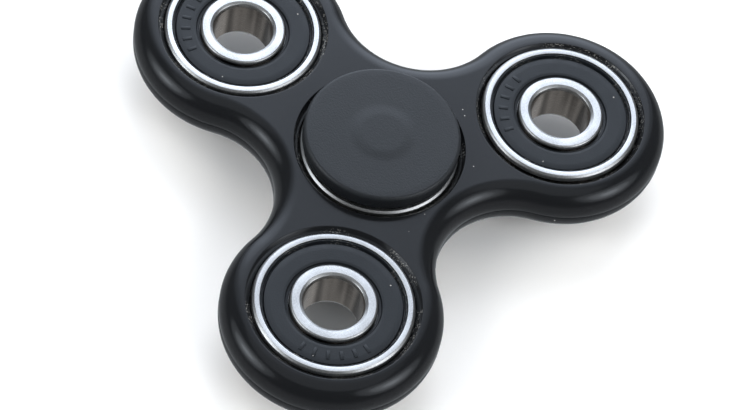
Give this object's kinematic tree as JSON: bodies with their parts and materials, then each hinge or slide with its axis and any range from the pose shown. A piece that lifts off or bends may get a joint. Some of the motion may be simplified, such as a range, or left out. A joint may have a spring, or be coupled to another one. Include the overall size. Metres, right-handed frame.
{
  "type": "fidget spinner",
  "caption": "Three-lobed hand spinner: moulded black body with sealed ball bearings in its lobes and hub, and finger caps on the hub bearing.",
  "frame": {"origin": "on the spin axis, in the lower cap's flat face", "axes": "+Z along the spin axis towards the upper cap, +X towards the right lobe"},
  "size_m": [0.0692, 0.0754, 0.0136],
  "materials": {
    "body_plastic": "gloss black injection moulding",
    "cap_plastic": "fine spark-eroded matt black",
    "ring_steel": "ground bearing steel",
    "ball_steel": "polished bearing steel",
    "seal_rubber": "moulded black rubber",
    "cage_nylon": "natural nylon"
  },
  "bodies": {
    "hub": {"upper_cap": "cap_plastic", "lower_cap": "cap_plastic", "centre_inner_ring": "ring_steel"},
    "rotor": {"tri_lobe_body": "body_plastic", "centre_outer_ring": "ring_steel", "centre_seal_top": "seal_rubber", "centre_seal_bottom": "seal_rubber", "right_outer_ring": "ring_steel", "right_seal_top": "seal_rubber", "right_seal_bottom": "seal_rubber", "left_outer_ring": "ring_steel", "left_seal_top": "seal_rubber", "left_seal_bottom": "seal_rubber", "front_outer_ring": "ring_steel", "front_seal_top": "seal_rubber", "front_seal_bottom": "seal_rubber"},
    "centre_ball_set": {"centre_ball_cage": "cage_nylon", "centre_ball_1": "ball_steel", "centre_ball_2": "ball_steel", "centre_ball_3": "ball_steel", "centre_ball_4": "ball_steel", "centre_ball_5": "ball_steel", "centre_ball_6": "ball_steel", "centre_ball_7": "ball_steel"},
    "right_inner_race": {"right_inner_ring": "ring_steel"},
    "right_ball_set": {"right_ball_cage": "cage_nylon", "right_ball_1": "ball_steel", "right_ball_2": "ball_steel", "right_ball_3": "ball_steel", "right_ball_4": "ball_steel", "right_ball_5": "ball_steel", "right_ball_6": "ball_steel", "right_ball_7": "ball_steel"},
    "left_inner_race": {"left_inner_ring": "ring_steel"},
    "left_ball_set": {"left_ball_cage": "cage_nylon", "left_ball_1": "ball_steel", "left_ball_2": "ball_steel", "left_ball_3": "ball_steel", "left_ball_4": "ball_steel", "left_ball_5": "ball_steel", "left_ball_6": "ball_steel", "left_ball_7": "ball_steel"},
    "front_inner_race": {"front_inner_ring": "ring_steel"},
    "front_ball_set": {"front_ball_cage": "cage_nylon", "front_ball_1": "ball_steel", "front_ball_2": "ball_steel", "front_ball_3": "ball_steel", "front_ball_4": "ball_steel", "front_ball_5": "ball_steel", "front_ball_6": "ball_steel", "front_ball_7": "ball_steel"}
  },
  "joints": [
    {"name": "rotor_spin", "type": "hinge", "parent": "hub", "child": "rotor", "pos_m": [0, 0, 0.0068], "axis": [0, 0, 1], "continuous": true},
    {"name": "centre_ball_set_orbit", "type": "hinge", "parent": "hub", "child": "centre_ball_set", "pos_m": [0, 0, 0.0068], "axis": [0, 0, 1], "continuous": true},
    {"name": "right_inner_race_spin", "type": "hinge", "parent": "rotor", "child": "right_inner_race", "pos_m": [0.0262, 0, 0.00745], "axis": [0, 0, 1], "continuous": true},
    {"name": "right_ball_set_orbit", "type": "hinge", "parent": "rotor", "child": "right_ball_set", "pos_m": [0.0262, 0, 0.00745], "axis": [0, 0, 1], "continuous": true},
    {"name": "left_inner_race_spin", "type": "hinge", "parent": "rotor", "child": "left_inner_race", "pos_m": [-0.0131, 0.02269, 0.00685], "axis": [0, 0, 1], "continuous": true},
    {"name": "left_ball_set_orbit", "type": "hinge", "parent": "rotor", "child": "left_ball_set", "pos_m": [-0.0131, 0.02269, 0.00685], "axis": [0, 0, 1], "continuous": true},
    {"name": "front_inner_race_spin", "type": "hinge", "parent": "rotor", "child": "front_inner_race", "pos_m": [-0.0131, -0.02269, 0.0071], "axis": [0, 0, 1], "continuous": true},
    {"name": "front_ball_set_orbit", "type": "hinge", "parent": "rotor", "child": "front_ball_set", "pos_m": [-0.0131, -0.02269, 0.0071], "axis": [0, 0, 1], "continuous": true}
  ],
  "couplings": [
    {"joint": "centre_ball_set_orbit", "follows": "rotor_spin", "ratio": 0.6323},
    {"joint": "right_ball_set_orbit", "follows": "right_inner_race_spin", "ratio": 0.3677},
    {"joint": "left_ball_set_orbit", "follows": "left_inner_race_spin", "ratio": 0.3677},
    {"joint": "front_ball_set_orbit", "follows": "front_inner_race_spin", "ratio": 0.3677}
  ]
}
